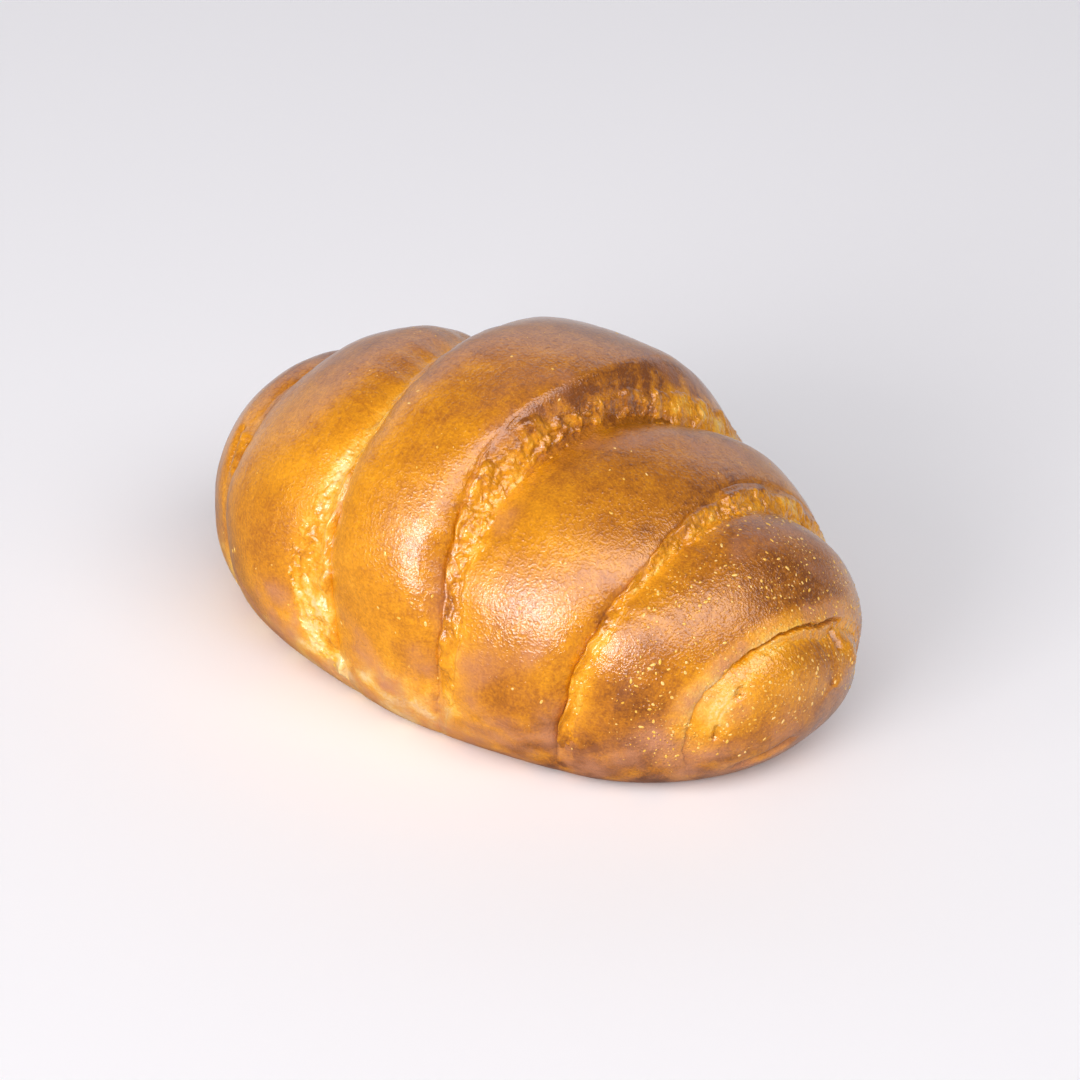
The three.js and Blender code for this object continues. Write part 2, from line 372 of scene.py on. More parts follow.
def over_top(angle):
    """1 from a little above the front to a little above the back, 0 low on both sides."""
    return ramp(angle, *OVER_FRONT) * ramp(angle, *OVER_BACK)


def crest(coil, angle):
    front, top, back = coil["swell"]
    over = (top - front) * ramp(angle, *SWELL_TO_TOP) + (back - top) * ramp(angle, *SWELL_TO_BACK)
    return seam_fade(angle) * (front + over)


def strip_level(index, angle, share):
    """Share 0 is at the thicker coil's edge of the torn strip and 1 at the thinner one's."""
    seam = SEAMS[index]
    deeper = ramp(np.sin(np.radians(angle)), *DEEPER_SINES)
    crease = over_top(angle)
    bottom = -seam_fade(angle) * blend(*seam["deep"], deeper)
    level = bottom * (1 - CREASE_SHARE * np.abs(share - crease))
    if not seam.get("flank"):
        return level
    high = crest(COILS[index], angle) - FLANK_STEP * seam_fade(angle)
    return level + (blend(high, bottom, share ** FLANK_CURVE) - level) * crease


def uneven(point):
    x, y, z = np.moveaxis(point, -1, 0)
    along, across, slanting = UNEVEN_PHASES
    level = np.sin(UNEVEN_PITCH * x + along) * np.sin(UNEVEN_PITCH * y + across)
    return UNEVENNESS * (level + np.sin(UNEVEN_PITCH * (UNEVEN_SLANT * z + x) + slanting)) / 2


random = np.random.default_rng(SEED)


def wander(angle):
    """A ragged line round the roll, from -1 to 1, that closes on itself."""
    line = np.zeros_like(angle)
    for waves in RAGGED_WAVES:
        height = math.sqrt(RAGGED_WAVES[0] / waves)
        line += height * np.sin(np.radians(angle) * waves + random.uniform(0, 2 * math.pi))
    return line / math.sqrt(len(RAGGED_WAVES))


angles = -90 + 360 * np.arange(COLUMNS) / COLUMNS
edges = []  # of each torn strip: its side by the thicker coil and its side by the thinner one
for seam in SEAMS:
    width = around(seam["width"], angles)
    ragged_degrees = RAGGED_DEGREES * smooth(width / RAGGED_FROM)
    if seam.get("flank"):
        ragged_degrees *= 1 - CALM_FLANK * ramp(angles, *FLANK_ANGLES)
    near_edge = around(seam["line"], angles) + ragged_degrees * wander(angles)
    far_edge = near_edge + seam["tip"] * (width + ragged_degrees * wander(angles))
    edges.append((near_edge, far_edge))


class Rows:
    """Rows of points from the far tip to the near one, with what the looks need to know."""

    fields = ("latitude", "level", "torn", "pale", "toast", "browner")

    def __init__(self):
        self.rows = {name: [] for name in self.fields}

    def add(self, **row):
        for name, value in row.items():
            self.rows[name].append(np.broadcast_to(value, angles.shape))

    def arrays(self):
        return (np.array(self.rows[name], float) for name in self.fields)


PALE_REACH = 1.8  # degrees of latitude over which the pale of a tear fades on the thinner coil
PALE_WIDTH = 4  # degrees of width, narrower tears are less pale
TOAST_REACH = 2.6  # degrees over which a tear's toasted brown fades on the thicker one
TOASTED_LIP = 0.4
STRIP_EDGE, STRIP_SLOPE = 0.25, 5  # how torn a strip is at its edges, and how fast more so
SKIN_EDGE = (-0.25, 0.1)  # shares of the strip over which a flank's skin ends
LEDGE_SHARE = 0.4  # of the strip over which a flank turns pale under its skin
TOAST_FADE = 1.5
TOAST_EDGE, TOAST_SHARE = 0.3, 0.4


def looks_by_seams(coil_latitude, start, before, end, after):
    """How pale and how toasted a coil is by the seams before and after it."""
    pale, toast = np.zeros(COLUMNS), np.zeros(COLUMNS)
    for side, seam in ((start, before), (end, after)):
        if side is None:
            continue
        away = np.abs(coil_latitude - side[0])
        if (seam["tip"] > 0) == (side is start):
            open_here = smooth(around(seam["width"], angles) / PALE_WIDTH) * seam_fade(angles)
            open_here = open_here * seam.get("paleness", 1.0)
            pale = np.maximum(pale, np.exp(-away / PALE_REACH) * open_here)
        else:
            toast_here = TOASTED_LIP * around(seam["toast"], angles) * seam_fade(angles)
            toast = np.maximum(toast, np.exp(-away / TOAST_REACH) * toast_here)
            pale_here = seam["pale_lip"] * seam_fade(angles)
            pale = np.maximum(pale, np.exp(-away / PALE_REACH) * pale_here)
    return pale, toast


rows = Rows()
for k, coil in enumerate(COILS):
    top = crest(coil, angles)
    before = SEAMS[k - 1] if k else None
    after = SEAMS[k] if k < len(SEAMS) else None
    start = end = None
    if before:
        thinner = before["tip"] > 0
        start = (edges[k - 1][int(thinner)], strip_level(k - 1, angles, float(thinner)))
    if after:
        thinner = after["tip"] < 0
        end = (edges[k][int(thinner)], strip_level(k, angles, float(thinner)))
    for row in range(coil["rows"] + 1):
        share = row / coil["rows"]
        if start is None or end is None:
            pole, foot = (-90, end) if start is None else (90, start)
            to_foot = share if start is None else 1 - share
            latitude = blend(pole, foot[0], to_foot)
            level = blend(foot[1], top, 1 - to_foot ** EMERGING_SLOPE)
        else:
            across = math.sin(math.pi * (share - 0.5))
            foot, is_lip = (start, before["tip"] < 0) if across < 0 else (end, after["tip"] > 0)
            size = abs(across)
            if is_lip:
                full = max(1 - size ** LIP_FLATNESS, 0) ** (1 / LIP_TURN)
            else:
                full = 1 - size ** EMERGING_SLOPE
            latitude = (start[0] + end[0] + (end[0] - start[0]) * across) / 2
            level = blend(foot[1], top, full)
        pale, toast = looks_by_seams(latitude, start, before, end, after)
        rows.add(latitude=latitude, level=level, torn=0, pale=pale, toast=toast,
                 browner=coil["browner"])
    if after is None:
        break
    for row in range(1, after["rows"]):
        share = row / after["rows"]
        if after["tip"] < 0:
            share = 1 - share
        level = strip_level(k, angles, share)
        if after is SEAMS[-1]:
            tight = ramp(angles, *TIGHT_FOLD_START) * ramp(angles, *TIGHT_FOLD_END)
            tight *= math.exp(-((share - TIGHT_FOLD_SHARE) / TIGHT_FOLD_REACH) ** 2)
            level = level - TIGHT_FOLD * tight
        in_strip = smooth(STRIP_SLOPE * min(share, 1 - share) + STRIP_EDGE) * seam_fade(angles)
        skinned = after.get("flank", 0) * ramp(angles, *OVER_FRONT)
        in_strip = in_strip * ramp(share - skinned, *SKIN_EDGE)
        torn = in_strip * around(after["crumb"], angles)
        toast = around(after["toast"], angles) * (1 - share ** TOAST_FADE)
        toast = toast * smooth(share / TOAST_SHARE + TOAST_EDGE)
        ledge = after.get("paleness", 1.0)
        if after.get("flank"):
            below_skin = smooth((share - after["flank"]) / LEDGE_SHARE)
            ledge *= blend(1.0, below_skin, ramp(angles, *FLANK_ANGLES))
        rows.add(latitude=blend(*edges[k], share), level=level, torn=torn,
                 pale=in_strip * ledge, toast=toast * seam_fade(angles), browner=0)

latitude, level, torn, pale, toast, browner = rows.arrays()
angle = np.broadcast_to(angles, latitude.shape)
base = form(latitude, angle)
out = outward(latitude, angle)


def noise_over(points, size, place):
    """Noise at points in millimetres, with features of that size, from about -1 to 1."""
    spots = (points / np.asarray(size, float) + place).reshape(-1, 3).tolist()
    values = [noise.noise(spot, noise_basis="PERLIN_ORIGINAL") for spot in spots]
    return np.array(values).reshape(points.shape[:-1])


# Distance along the roll, the same all round a row, so that patterns follow the coils.
steps = np.linalg.norm(np.diff(base, axis=0), axis=-1).mean(axis=1)
along = np.concatenate([[0], np.cumsum(steps)])
along_rows = np.broadcast_to(along[:, None], latitude.shape)
grain = np.stack([along_rows, base[..., 1], base[..., 2]], -1)

# how much each point lies in a crease or slit, for the painted shade there
crease_shade = np.zeros_like(latitude)
relief = -TORN_CLEARANCE * torn
for crease in CREASES:
    start, end = (form(*crease[side]) for side in ("start", "end"))
    way = end - start
    share = np.clip((base - start) @ way / (way @ way), 0, 1)
    gap = np.linalg.norm(base - start - share[..., None] * way, axis=-1)
    groove = np.exp(-(gap / crease["wide"]) ** 2)
    relief -= crease["deep"] * groove
    crease_shade += (crease["deep"] > 0) * groove
skin = (1 - torn) * seam_fade(angle)
for unevenly in (DENTS, WRINKLES):
    relief += unevenly["height"] * skin * noise_over(grain, unevenly["size"], unevenly["place"])

place = base + (level + uneven(base) + relief)[..., None] * out
z = place[..., 2]
place[..., 2] = np.maximum((z + np.sqrt(z * z + FOOT_EDGE ** 2)) / 2 - FOOT_TRIM, 0)


def spread(values):
    """One value for each point of the mesh, from rows of them: one point closes each tip."""
    inner = values[1:-1].reshape(-1, *values.shape[2:])
    return np.concatenate([values[:1].mean(axis=1), inner, values[-1:].mean(axis=1)])


points = spread(place)
low, high = points.min(0), points.max(0)
box_low, box_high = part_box("bread_roll")
middle = np.array((box_low + box_high) / 2)
shift = np.array([middle[0] - (low[0] + high[0]) / 2 * MILLIMETRE,
                  middle[1] - (low[1] + high[1]) / 2 * MILLIMETRE, 0])
near_tip = len(points) - 1
row_count = len(place) - 2
column = np.arange(COLUMNS)
turned = (column + 1) % COLUMNS
faces = []
for row in range(row_count - 1):
    here, there = 1 + row * COLUMNS, 1 + (row + 1) * COLUMNS
    quads = np.stack([here + column, there + column, there + turned, here + turned], -1)
    faces.extend(quads.tolist())
last_row = 1 + (row_count - 1) * COLUMNS
for a, b in zip(column.tolist(), turned.tolist()):
    faces.append((0, 1 + a, 1 + b))
    faces.append((last_row + a, near_tip, last_row + b))

crust_mesh = bpy.data.meshes.new("crust")
crust_mesh.from_pydata((points * MILLIMETRE + shift).tolist(), [], faces)
crust_mesh.shade_smooth()

# How brown the crust is made, from 0 to 1: mostly how it baked, with painted shade added.
# The top baked browner. The foot stayed paler at the far half and is mottled; low on the near
# half it is darker, partly from baking and partly as painted shade. Creases and slits are
# darkened as painted shade. A pair of values is the heights in millimetres, latitudes, sines
# or angles between which a change comes on.
BAKE = 0.455
TOP_BROWNER = 0.18
TOP_SINES = (0.66, 1.06)
FAR_FOOT_PALER = 0.24
FAR_FOOT_HEIGHTS, FAR_LATITUDES = (17, 2), (35, -10)
# low on the near half the crust is made darker, partly browner baking and partly painted shade
NEAR_FOOT_BAKE_AND_SHADE = 0.24
NEAR_FOOT_HEIGHTS, NEAR_LATITUDES = (26, 12), (5, 35)
FOOT_MOTTLING = 0.32
MOTTLED_HEIGHTS = (18, 8)
MOTTLES_OF_FOOT = dict(size=(4.5, 3.0, 3.0), place=5.5)
# how much darker creases and slits are made, as painted shade
CREASE_PAINTED_SHADE = 0.16
BURNT_BROWNER = 0.5
UNDERSIDE_HEIGHT, UNDERSIDE_BAKE = 0.05, 0.5
# patches made browner, or paler where the last value is below 0: latitude, angle, radius in
# millimetres and how much. The browner ones are partly how it baked and partly painted shade,
# darker where the glaze would mirror dark surroundings.
BAKED_AND_SHADED_PATCHES = [
    (-24, 6, 9, 0.13), (43, 13, 7, 0.13), (61, 36, 5, 0.10), (65, 110, 9, 0.05),
    (20, -4, 6, 0.07), (32, 31, 6, 0.08), (70, 60, 9, 0.04), (63, -2, 5, -0.16),
    (1, -26, 9, -0.15), (33, -8, 4, -0.12), (10, 34, 4, 0.08), (5, 17, 7, 0.06),
    (22, 17, 7, 0.06), (-3, 40, 8, 0.04), (40, -28, 6, -0.10), (44, -12, 5, -0.06),
    (-38, -27, 8, -0.05),
]
# spots that scorched on the tray: latitude, angle and radius
BURNT = [(-13.3, -38.7, 0.8), (-4, -42, 0.5), (23.6, -43.2, 1.3), (26, -38, 0.6),
         (28.5, -35.1, 0.8)]
# The egg wash ran down to this height, ragged as its noise is, and is thin in dull patches.
WASH_HEIGHT, WASH_BLEND, WASH_RAGGED = 9, 11, 0.7
WASH_EDGE = dict(size=(8, 9, 9), place=2.7)
DULL_SHARE = 0.5
DULL_FROM, DULL_LATITUDES = (0.12, 0.32), (-5, 10)
DULL_PATCHES = dict(size=(9, 16, 16), place=7.2)
# Degrees of latitude by the last seam that it didn't reach, where the lip stayed pale.
BARE_LIP, BARE_LIP_EDGE = 6.0, 3
BARE_LIP_ANGLES = (145, 125)
BARE_LIP_PALER = 0.28
# Blisters crowd on the near coils, in clusters, and are rare on the others.
BLISTERED_LATITUDES, RARE = (36, 44), 0.04
CLUSTERS = dict(size=(6, 6, 6), place=3.3)
CLUSTERED_FROM, BETWEEN_CLUSTERS = (-0.35, 0.25), 0.2
TIP_LATITUDES, TIP_CLUSTERED = (60, 66), 0.7


def round_spot(spot_latitude, spot_angle, size):
    """1 at a place on the crust and 0 past that many millimetres, with a soft edge."""
    gap = np.linalg.norm(base - form(spot_latitude, spot_angle), axis=-1)
    return np.exp(-(gap / size) ** 4)


height = place[..., 2]
top_here = ramp(np.sin(np.radians(angle)), *TOP_SINES) * ramp(angle, *OVER_BACK)
bake = BAKE + TOP_BROWNER * top_here + browner
bake -= FAR_FOOT_PALER * ramp(height, *FAR_FOOT_HEIGHTS) * ramp(latitude, *FAR_LATITUDES)
# darker low on the near half: partly baking, partly painted shade
bake += NEAR_FOOT_BAKE_AND_SHADE * ramp(latitude, *NEAR_LATITUDES) * ramp(height, *NEAR_FOOT_HEIGHTS)
bake += FOOT_MOTTLING * noise_over(grain, **MOTTLES_OF_FOOT) * ramp(height, *MOTTLED_HEIGHTS)
# browner patches, partly baked and partly painted shade, and paler ones
for patch_latitude, patch_angle, size, amount in BAKED_AND_SHADED_PATCHES:
    bake += amount * round_spot(patch_latitude, patch_angle, size)
burnt = sum(round_spot(*spot) for spot in BURNT)
# painted shade in the creases and slits, and the spots scorched on the tray
bake += CREASE_PAINTED_SHADE * crease_shade + BURNT_BROWNER * burnt
bake = np.where(height < UNDERSIDE_HEIGHT, UNDERSIDE_BAKE, bake)

clusters = ramp(noise_over(grain, **CLUSTERS), *CLUSTERED_FROM)
clusters = np.maximum(clusters, TIP_CLUSTERED * ramp(latitude, *TIP_LATITUDES))
blistered = skin * blend(RARE, 1, ramp(latitude, *BLISTERED_LATITUDES))
blistered *= blend(BETWEEN_CLUSTERS, 1, clusters)

wash_edge = WASH_RAGGED * noise_over(grain, **WASH_EDGE)
washed = smooth((height - WASH_HEIGHT) / WASH_BLEND + wash_edge)
dull_here = ramp(noise_over(grain, **DULL_PATCHES), *DULL_FROM) * ramp(latitude, *DULL_LATITUDES)
washed *= 1 - DULL_SHARE * dull_here
from_last_lip = edges[-1][0] - latitude
bare_lip = smooth((BARE_LIP - from_last_lip) / BARE_LIP_EDGE) * (from_last_lip > 0)
bare_lip *= ramp(angle, *BARE_LIP_ANGLES)
washed *= 1 - bare_lip
bake -= BARE_LIP_PALER * bare_lip


def paint(mesh, name, values):
    """Keeps a number or a vector for each point, for the materials to read."""
    kind, part = ("FLOAT_VECTOR", "vector") if values.ndim > 1 else ("FLOAT", "value")
    layer = mesh.attributes.new(name, kind, "POINT")
    layer.data.foreach_set(part, values.astype(np.float32).ravel())


looks = dict(torn=torn, pale=pale, toast=toast, bake=bake, washed=washed,
             blistered=blistered, grain=grain)
for name, values in looks.items():
    paint(crust_mesh, name, spread(values))

crust = new_object("crust", crust_mesh)


def new_group(name, inputs, outputs, kind="ShaderNodeTree"):
    """A node group with named sockets: each input has a number or a kind, each output a kind."""
    group = bpy.data.node_groups.new(name, kind)
    number_kinds = {float: "Float", int: "Int"}
    for title, given in inputs.items():
        socket = "NodeSocket" + number_kinds.get(type(given), str(given))
        made = group.interface.new_socket(title, in_out="INPUT", socket_type=socket)
        if type(given) in number_kinds:
            made.default_value = given
    for title, given in outputs.items():
        group.interface.new_socket(title, in_out="OUTPUT", socket_type="NodeSocket" + given)
    return group, group.nodes.new("NodeGroupInput").outputs, group.nodes.new("NodeGroupOutput")


def use(tree, group, inputs):
    """Places a shader group in a tree and gives its outputs."""
    return add(tree, "ShaderNodeGroup", inputs, node_tree=group).outputs


def math_node(tree, operation, *values, clamp=False):
    inputs = dict(enumerate(values))
    return add(tree, "ShaderNodeMath", inputs, operation=operation, use_clamp=clamp).outputs[0]


def sum_of(tree, start, *terms):
    """Start plus each amount times its pattern."""
    total = start
    for amount, pattern in terms:
        total = math_node(tree, "MULTIPLY_ADD", pattern, amount, total)
    return total


def linear(red, green, blue):
    """A colour given as it looks on a screen, from 0 to 255."""
    shares = [value / 255 for value in (red, green, blue)]
    return (*[s / 12.92 if s <= 0.04045 else ((s + 0.055) / 1.055) ** 2.4 for s in shares], 1)


# how dough browns: from pale through golden and amber to dark brown
BROWNING = {
    0.0: linear(242, 207, 138),
    0.15: linear(237, 183, 70),
    0.3: linear(231, 155, 20),
    0.45: linear(209, 135, 11),
    0.62: linear(178, 107, 14),
    0.82: linear(128, 70, 16),
    1.0: linear(72, 36, 12),
}
browning, given, result = new_group("browning", {"Bake": 0.4}, {"Colour": "Color"})
colours = add(browning, "ShaderNodeValToRGB", {"Fac": given["Bake"]})
stops = colours.color_ramp.elements
stops[0].position, stops[0].color = 0.0, BROWNING[0.0]
stops[1].position, stops[1].color = 1.0, BROWNING[1.0]
for position in list(BROWNING)[1:-1]:
    stops.new(position).color = BROWNING[position]
browning.links.new(colours.outputs["Color"], result.inputs["Colour"])

# fine streaks that the brush and the stretching skin left round the coils, so many to a
# millimetre across the coil and along it
STREAK_ROUGHNESS = 0.6
streaks, given, result = new_group(
    "streaks",
    {"Grain": "Vector", "Across": 1.8, "Lengthwise": 0.16, "Detail": 3.0}, {"Streaks": "Float"})
stretch = add(streaks, "ShaderNodeCombineXYZ",
              {"X": given["Across"], "Y": given["Lengthwise"], "Z": given["Lengthwise"]})
stretched = add(streaks, "ShaderNodeVectorMath",
                {0: given["Grain"], 1: stretch.outputs[0]}, operation="MULTIPLY")
pattern = add(streaks, "ShaderNodeTexNoise",
              {"Vector": stretched.outputs[0], "Scale": 1.0, "Detail": given["Detail"],
               "Roughness": STREAK_ROUGHNESS})
streaks.links.new(pattern.outputs["Fac"], result.inputs["Streaks"])

# soft patches of one size in millimetres, from 0 to 1
MOTTLE_ROUGHNESS = 0.55
mottle, given, result = new_group(
    "mottle", {"Size": 6.0, "Sharpness": 1.6, "Detail": 3.0}, {"Mottle": "Float"})
on_dough = add(mottle, "ShaderNodeTexCoord").outputs["Object"]
fineness = math_node(mottle, "DIVIDE", 1 / MILLIMETRE, given["Size"])
pattern = add(mottle, "ShaderNodeTexNoise",
              {"Vector": on_dough, "Scale": fineness, "Detail": given["Detail"],
               "Roughness": MOTTLE_ROUGHNESS})
centred = math_node(mottle, "SUBTRACT", pattern.outputs["Fac"], 0.5)
sharpened = math_node(mottle, "MULTIPLY", centred, given["Sharpness"])
mottled = math_node(mottle, "ADD", sharpened, 0.5, clamp=True)
mottle.links.new(mottled, result.inputs["Mottle"])

# pale flecks in the skin, each in a cell of that size in millimetres, of which it fills a share
FLECK_EDGE = 7.0
specks, given, result = new_group("specks", {"Size": 1.2, "Share": 0.3}, {"Specks": "Float"})
on_dough = add(specks, "ShaderNodeTexCoord").outputs["Object"]
fineness = math_node(specks, "DIVIDE", 1 / MILLIMETRE, given["Size"])
cells = add(specks, "ShaderNodeTexVoronoi",
            {"Vector": on_dough, "Scale": fineness, "Randomness": 1.0})
radius = math_node(specks, "MULTIPLY", given["Share"], 0.5)
inside = math_node(specks, "SUBTRACT", radius, cells.outputs["Distance"])
filled = math_node(specks, "MULTIPLY", inside, FLECK_EDGE, clamp=True)
specks.links.new(filled, result.inputs["Specks"])

# The dough's colour, gloss and fine relief. It bakes browner or stays paler in broad and fine
# patches and in streaks round the coils. Torn dough is paler and more mottled and toasts in
# flecks, and where the egg wash is thin the crust is dull and pinkish, a tint that is partly
# its own colour and partly a painted sheen.
# Each kind of patch, from broad to grainy, has how much browner it makes the dough.
PATCHES = [
    (0.14, {"Size": 15.0, "Sharpness": 1.8}),
    (0.14, {"Size": 6.0, "Sharpness": 2.4}),
    (0.10, {"Size": 2.6, "Sharpness": 2.4}),
    (0.17, {"Size": 0.8, "Sharpness": 1.6, "Detail": 2.0}),
    (0.20, {"Size": 0.42, "Sharpness": 1.5, "Detail": 1.0}),
]
BRUSH = {"Across": 1.4, "Lengthwise": 0.09}
STREAKS_BROWNER, STREAKED_PATCHES = 0.04, 0.24
PALER, PALE_EVERYWHERE, PALE_IN_PATCHES = 0.30, 0.75, 0.5
TORN_PALER, TORN_BROWNER_SMALL, TORN_BROWNER_MIDDLING = 0.30, 0.30, 0.26
TOASTED_BROWNER = 0.26
TOASTED_FLECKS = dict(fine=0.5, start=0.82, sharpness=1.5)
FLECKS = {"Size": 0.95, "Share": 0.62}
FLECKS_PALER = 0.14
BROWNEST = 0.82
# the dull crust's pinkish colour, partly its own and partly a painted sheen
DULL_AND_SHEEN_COLOUR = linear(196, 132, 92)
DULL_AND_SHEEN_MOTTLED, DULL_AND_SHEEN_START = 1.1, -0.15
WASHED_ROUGHNESS, ROUGHER_IN_PATCHES, ROUGHER_UNWASHED = 0.08, 0.04, 0.22
RELIEF = dict(fine=0.5, streaks=0.25, grainy=0.55, flecks=0.7)

dough, given, result = new_group(
    "dough",
    {"Bake": 0.4, "Pale": 0.0, "Torn": 0.0, "Toast": 0.0, "Washed": 1.0, "Blistered": 0.0,
     "Grain": "Vector"},
    {"Colour": "Color", "Roughness": "Float", "Height": "Float"})
patterns = [use(dough, mottle, kind)["Mottle"] for amount, kind in PATCHES]
broad, middling, small, fine, grainy = patterns
brushed = use(dough, streaks, {"Grain": given["Grain"], **BRUSH})["Streaks"]
flecked = use(dough, specks, FLECKS)["Specks"]
flecked = math_node(dough, "MULTIPLY", flecked, given["Blistered"])


def browner_by(tree, bake, amount, pattern):
    """Adds amount times how far the pattern is from its middle."""
    return math_node(tree, "MULTIPLY_ADD", math_node(tree, "SUBTRACT", pattern, 0.5), amount, bake)


baked = given["Bake"]
for pattern, (amount, kind) in zip(patterns, PATCHES):
    baked = browner_by(dough, baked, amount, pattern)
streaks_browner = sum_of(dough, STREAKS_BROWNER, (STREAKED_PATCHES, broad))
baked = browner_by(dough, baked, streaks_browner, brushed)
pale_share = sum_of(dough, PALE_EVERYWHERE, (PALE_IN_PATCHES, small))
pale_share = math_node(dough, "MULTIPLY", given["Pale"], pale_share)
torn_browner = sum_of(dough, -TORN_PALER, (TORN_BROWNER_SMALL, small),
                      (TORN_BROWNER_MIDDLING, middling))
toast_flecks = sum_of(dough, small, (TOASTED_FLECKS["fine"], fine))
toast_flecks = math_node(dough, "SUBTRACT", toast_flecks, TOASTED_FLECKS["start"])
toast_flecks = math_node(dough, "MULTIPLY", toast_flecks, TOASTED_FLECKS["sharpness"], clamp=True)
toast_flecks = math_node(dough, "MULTIPLY", toast_flecks, given["Toast"])
baked = sum_of(dough, baked, (-PALER, pale_share), (torn_browner, given["Torn"]),
               (TOASTED_BROWNER, given["Toast"]), (TOASTED_BROWNER, toast_flecks),
               (-FLECKS_PALER, flecked))
baked = math_node(dough, "MINIMUM", baked, BROWNEST, clamp=True)
colour = use(dough, browning, {"Bake": baked})["Colour"]
unwashed = math_node(dough, "SUBTRACT", 1.0, given["Washed"])
# how far the colour turns to that dull pinkish one, partly the crust's own and partly painted
# sheen
dull_and_sheen_share = sum_of(dough, DULL_AND_SHEEN_START, (DULL_AND_SHEEN_MOTTLED, middling))
dull_and_sheen_share = math_node(dough, "MULTIPLY", unwashed, dull_and_sheen_share, clamp=True)
colour = mix_colour(dough, dull_and_sheen_share, colour, DULL_AND_SHEEN_COLOUR)
dough.links.new(colour, result.inputs["Colour"])
roughness = sum_of(dough, WASHED_ROUGHNESS, (ROUGHER_IN_PATCHES, fine),
                   (ROUGHER_UNWASHED, unwashed))
dough.links.new(roughness, result.inputs["Roughness"])
bumps = sum_of(dough, 0.0, (RELIEF["fine"], fine), (RELIEF["streaks"], brushed),
               (RELIEF["grainy"], grainy), (RELIEF["flecks"], flecked))
dough.links.new(bumps, result.inputs["Height"])

# The dried egg wash is a hard gloss that breaks up over the dough's grain, and a softer
# sheen over it makes the highlights broad.
GLOSS_INDEX = 1.65
SHEEN, SHEEN_ROUGHNESS, SHEEN_INDEX = 0.7, 0.30, 1.35


def dough_material(name, bump_height, **fixed):
    """A material of the dough's look, with the piece's own fields or values fixed for it all."""
    material, tree = new_material(name)
    inputs = {}
    for title in ("Bake", "Pale", "Torn", "Toast", "Washed", "Blistered"):
        value = fixed.get(title.lower())
        if value is None:
            field = add(tree, "ShaderNodeAttribute", attribute_name=title.lower())
            value = field.outputs["Fac"]
        inputs[title] = value
    field = add(tree, "ShaderNodeAttribute", attribute_name="grain")
    inputs["Grain"] = field.outputs["Vector"]
    look = use(tree, dough, inputs)
    bump = add(tree, "ShaderNodeBump",
               {"Height": look["Height"], "Strength": 1.0, "Distance": bump_height})
    surface(tree, {"Base Color": look["Colour"], "Roughness": look["Roughness"],
                   "IOR": GLOSS_INDEX, "Coat Weight": SHEEN, "Coat Roughness": SHEEN_ROUGHNESS,
                   "Coat IOR": SHEEN_INDEX, "Normal": bump.outputs["Normal"]})
    return material


CRUST_RELIEF = 0.15 * MILLIMETRE
crust_material = dough_material("egg-washed crust", CRUST_RELIEF)
crust_mesh.materials.append(crust_material)

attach(crust, "root")
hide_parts("bread_roll")


# Blisters
# Small air bubbles under the skin of the rolled-up dough swelled and baked to pale, pin-sized
# domes, crowded on the near coils and rare elsewhere.

BLISTER_GAP = 0.70 * MILLIMETRE
BLISTERS_PER_SQUARE_METRE = 1.2e6
BLISTER_RADIUS = (0.07 * MILLIMETRE, 0.30 * MILLIMETRE)
OFTEN_SMALL = 3.0  # the power that makes most of them small
BLISTER_LENGTH = 2.4  # the longest, and their height, for a radius of 1
BLISTER_HEIGHT = 0.30
BLISTER_ROUGHNESS = 0.3
BLISTER_LUMPS = 900.0  # to the metre
BLISTER_SIDES, BLISTER_RINGS = 6, 4
BLISTER_SEED, LENGTH_SEED, TURN_SEED = 4, 7, 3
BLISTER_BAKE = 0.13
BLISTER_RELIEF = 0.05 * MILLIMETRE


def field_of(tree, name):
    node = add(tree, "GeometryNodeInputNamedAttribute", {"Name": name}, data_type="FLOAT")
    return node.outputs["Attribute"]


def random_value(tree, low, high, seed):
    """A different number for each point, from low to high."""
    node = tree.nodes.new("FunctionNodeRandomValue")
    sockets = {socket.name: socket for socket in node.inputs if socket.enabled}
    for title, value in (("Min", low), ("Max", high), ("Seed", seed)):
        if isinstance(value, bpy.types.NodeSocket):
            tree.links.new(value, sockets[title])
        else:
            sockets[title].default_value = value
    return next(socket for socket in node.outputs if socket.enabled)


